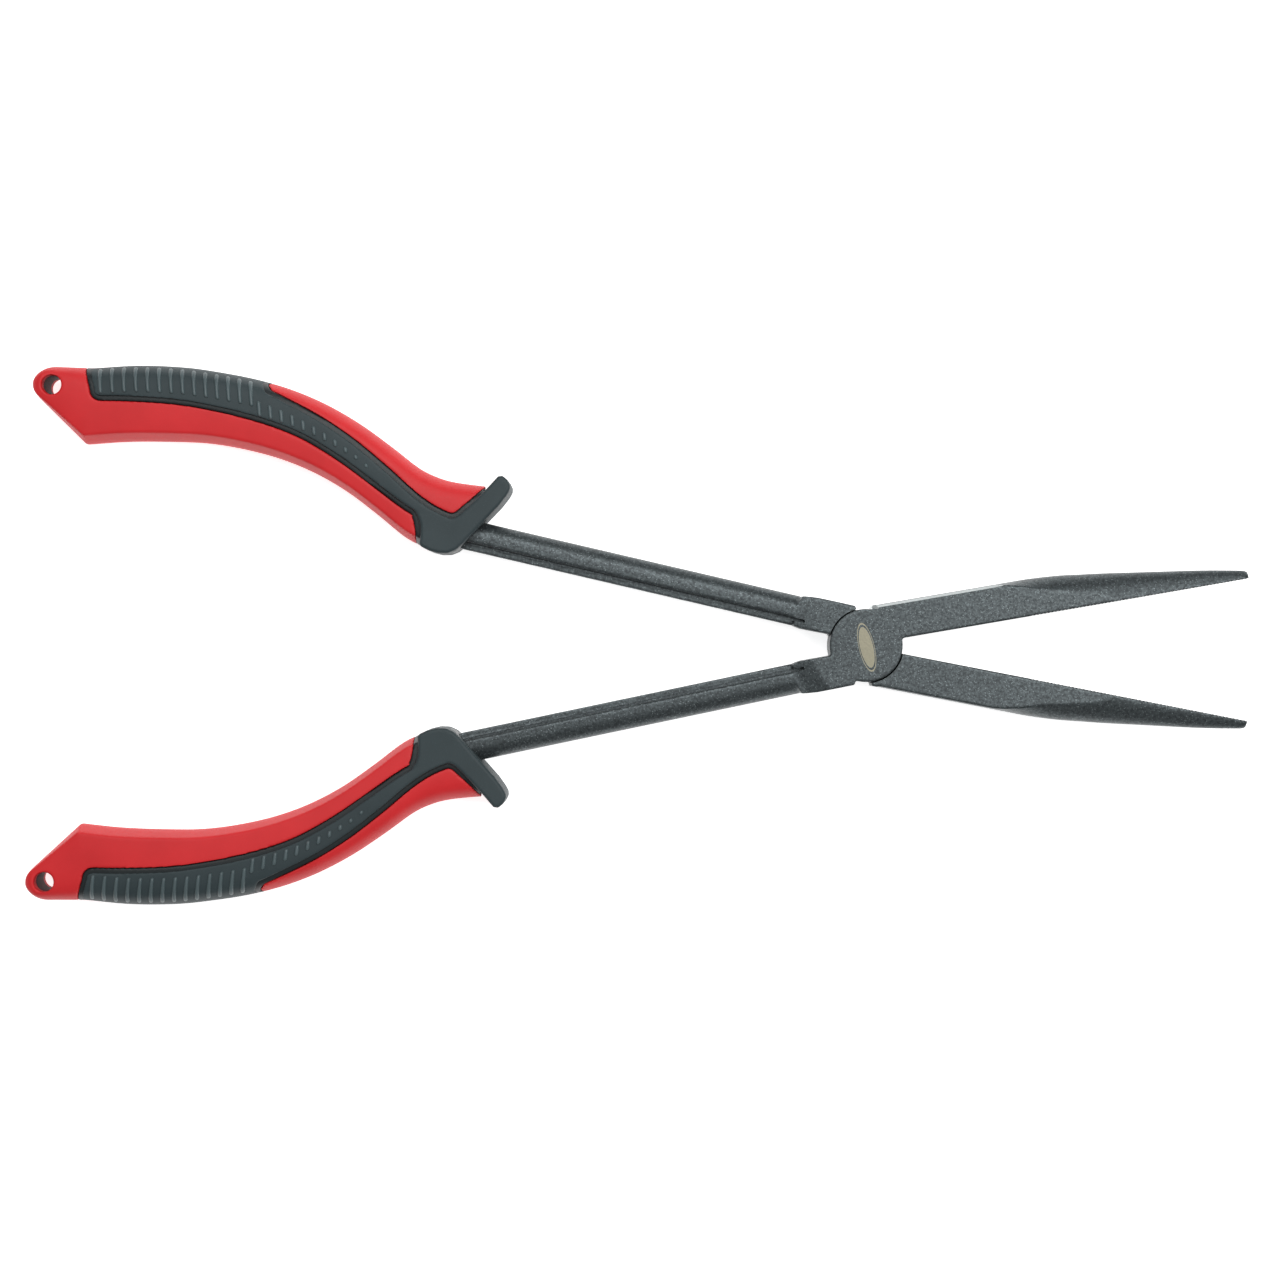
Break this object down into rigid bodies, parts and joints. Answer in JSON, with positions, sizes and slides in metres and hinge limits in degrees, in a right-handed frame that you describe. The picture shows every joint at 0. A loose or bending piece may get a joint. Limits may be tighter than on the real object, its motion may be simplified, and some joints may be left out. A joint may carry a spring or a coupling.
{
  "type": "long-reach needle-nose pliers",
  "caption": "Long-reach needle-nose pliers: lap-jointed forged halves on a flush rivet, slim serrated jaws, slender shanks and curved moulded grips with finger guards and lanyard holes",
  "frame": {"origin": "on the pivot axis, at the rear flat face of the joint", "axes": "+X points from the joint to the jaws, along the line that halves the angle between them; +Y is across the tool, on the front half's jaw side; +Z is along the pivot, out of the front face. The tool is stored open, with 20.7 degrees between its jaws."},
  "size_m": [0.2702, 0.1195, 0.0144],
  "materials": {
    "coated_steel": "fine textured powder coat with a metallic sparkle",
    "rivet_steel": "coated flush with the joint",
    "dark_core": "dark moulded plastic",
    "red_shell": "satin moulded plastic",
    "grey_overmould": "satin soft-touch rubber with moulded ribs"
  },
  "bodies": {
    "front_handle": {"front_half": "coated_steel", "pivot_rivet": "rivet_steel", "front_core": "dark_core", "front_shell": "red_shell", "front_overmould": "grey_overmould"},
    "rear_handle": {"rear_half": "coated_steel", "rear_core": "dark_core", "rear_shell": "red_shell", "rear_overmould": "grey_overmould"}
  },
  "joints": [
    {"name": "pivot", "type": "hinge", "parent": "front_handle", "child": "rear_handle", "pos_m": [0, 0, 0.0044], "axis": [0, 0, 1], "range_deg": [-22.5, 20.6]}
  ]
}
